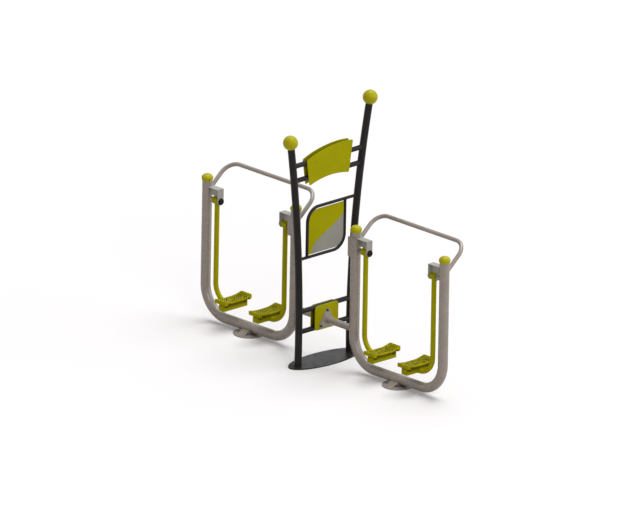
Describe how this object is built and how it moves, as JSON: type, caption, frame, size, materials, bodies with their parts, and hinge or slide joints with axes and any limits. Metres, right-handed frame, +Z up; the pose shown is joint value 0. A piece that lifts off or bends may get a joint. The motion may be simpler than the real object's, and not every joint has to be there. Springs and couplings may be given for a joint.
{
  "type": "outdoor air walker",
  "caption": "Outdoor air walker: foot-plate arms hang from axles in bent tube frames with handlebars, joined to a middle pylon with a sign and a panel.",
  "frame": {"origin": "centre of the underside of the pylon's elliptical base plate, on the ground", "axes": "+X along the row of stations, +Y the way the users face, +Z up"},
  "size_m": [3.0838, 1.0939, 2.3685],
  "materials": {
    "grey_paint": "powder coat, warm grey, satin",
    "housing_grey": "powder coat, neutral light grey, satin",
    "lime_paint": "powder coat, lime green, satin",
    "lime_plastic": "moulded, lime green, gloss",
    "lime_casting": "cast aluminium, powder coated lime green",
    "anthracite_paint": "powder coat, anthracite, satin",
    "panel_lime": "flat sheet, lime green",
    "panel_grey": "flat sheet, grey",
    "zinc_steel": "zinc plated or ground steel",
    "black_plastic": "moulded, black"
  },
  "bodies": {
    "frame": {"base_plate": "anthracite_paint", "pylon_post_front": "anthracite_paint", "pylon_post_rear": "anthracite_paint", "ball_caps": "lime_plastic", "sign_rails": "anthracite_paint", "sign_plate_left": "lime_paint", "sign_plate_right": "lime_paint", "sign_bolts": "lime_paint", "panel_frame_upper": "anthracite_paint", "panel_frame_lower": "anthracite_paint", "panel_lime": "panel_lime", "panel_grey": "panel_grey", "mount_rails": "anthracite_paint", "mount_plate_left": "lime_paint", "mount_plate_right": "lime_paint", "link_arm_left": "grey_paint", "link_arm_right": "grey_paint", "link_bolts": "zinc_steel", "station_frame_left": "grey_paint", "station_frame_right": "grey_paint", "handlebar_left": "grey_paint", "handlebar_right": "grey_paint", "post_caps": "lime_plastic", "cap_screws": "black_plastic", "base_disc_left": "grey_paint", "base_disc_right": "grey_paint", "saddle_left": "grey_paint", "saddle_right": "grey_paint", "instruction_plate_left": "grey_paint", "instruction_plate_right": "grey_paint", "pivot_housing_left_outer": "housing_grey", "pivot_housing_left_inner": "housing_grey", "pivot_housing_right_inner": "housing_grey", "pivot_housing_right_outer": "housing_grey", "axle_bosses": "grey_paint", "axles_left": "zinc_steel", "axles_right": "zinc_steel", "axle_nuts": "zinc_steel", "axle_end_caps": "black_plastic"},
    "stride_left_outer": {"arm_left_outer": "lime_paint", "bearings_left_outer": "zinc_steel", "carrier_left_outer": "lime_paint", "pedal_left_outer": "lime_casting", "pedal_bolts_left_outer": "zinc_steel"},
    "stride_left_inner": {"arm_left_inner": "lime_paint", "bearings_left_inner": "zinc_steel", "carrier_left_inner": "lime_paint", "pedal_left_inner": "lime_casting", "pedal_bolts_left_inner": "zinc_steel"},
    "stride_right_inner": {"arm_right_inner": "lime_paint", "bearings_right_inner": "zinc_steel", "carrier_right_inner": "lime_paint", "pedal_right_inner": "lime_casting", "pedal_bolts_right_inner": "zinc_steel"},
    "stride_right_outer": {"arm_right_outer": "lime_paint", "bearings_right_outer": "zinc_steel", "carrier_right_outer": "lime_paint", "pedal_right_outer": "lime_casting", "pedal_bolts_right_outer": "zinc_steel"}
  },
  "joints": [
    {"name": "swing_left_outer", "type": "hinge", "parent": "frame", "child": "stride_left_outer", "pos_m": [-1.364, 0, 1.115], "axis": [1, 0, 0], "range_deg": [-45, 45]},
    {"name": "swing_left_inner", "type": "hinge", "parent": "frame", "child": "stride_left_inner", "pos_m": [-0.504, 0, 1.115], "axis": [1, 0, 0], "range_deg": [-45, 45]},
    {"name": "swing_right_inner", "type": "hinge", "parent": "frame", "child": "stride_right_inner", "pos_m": [0.504, 0, 1.115], "axis": [1, 0, 0], "range_deg": [-45, 45]},
    {"name": "swing_right_outer", "type": "hinge", "parent": "frame", "child": "stride_right_outer", "pos_m": [1.364, 0, 1.115], "axis": [1, 0, 0], "range_deg": [-45, 45]}
  ]
}
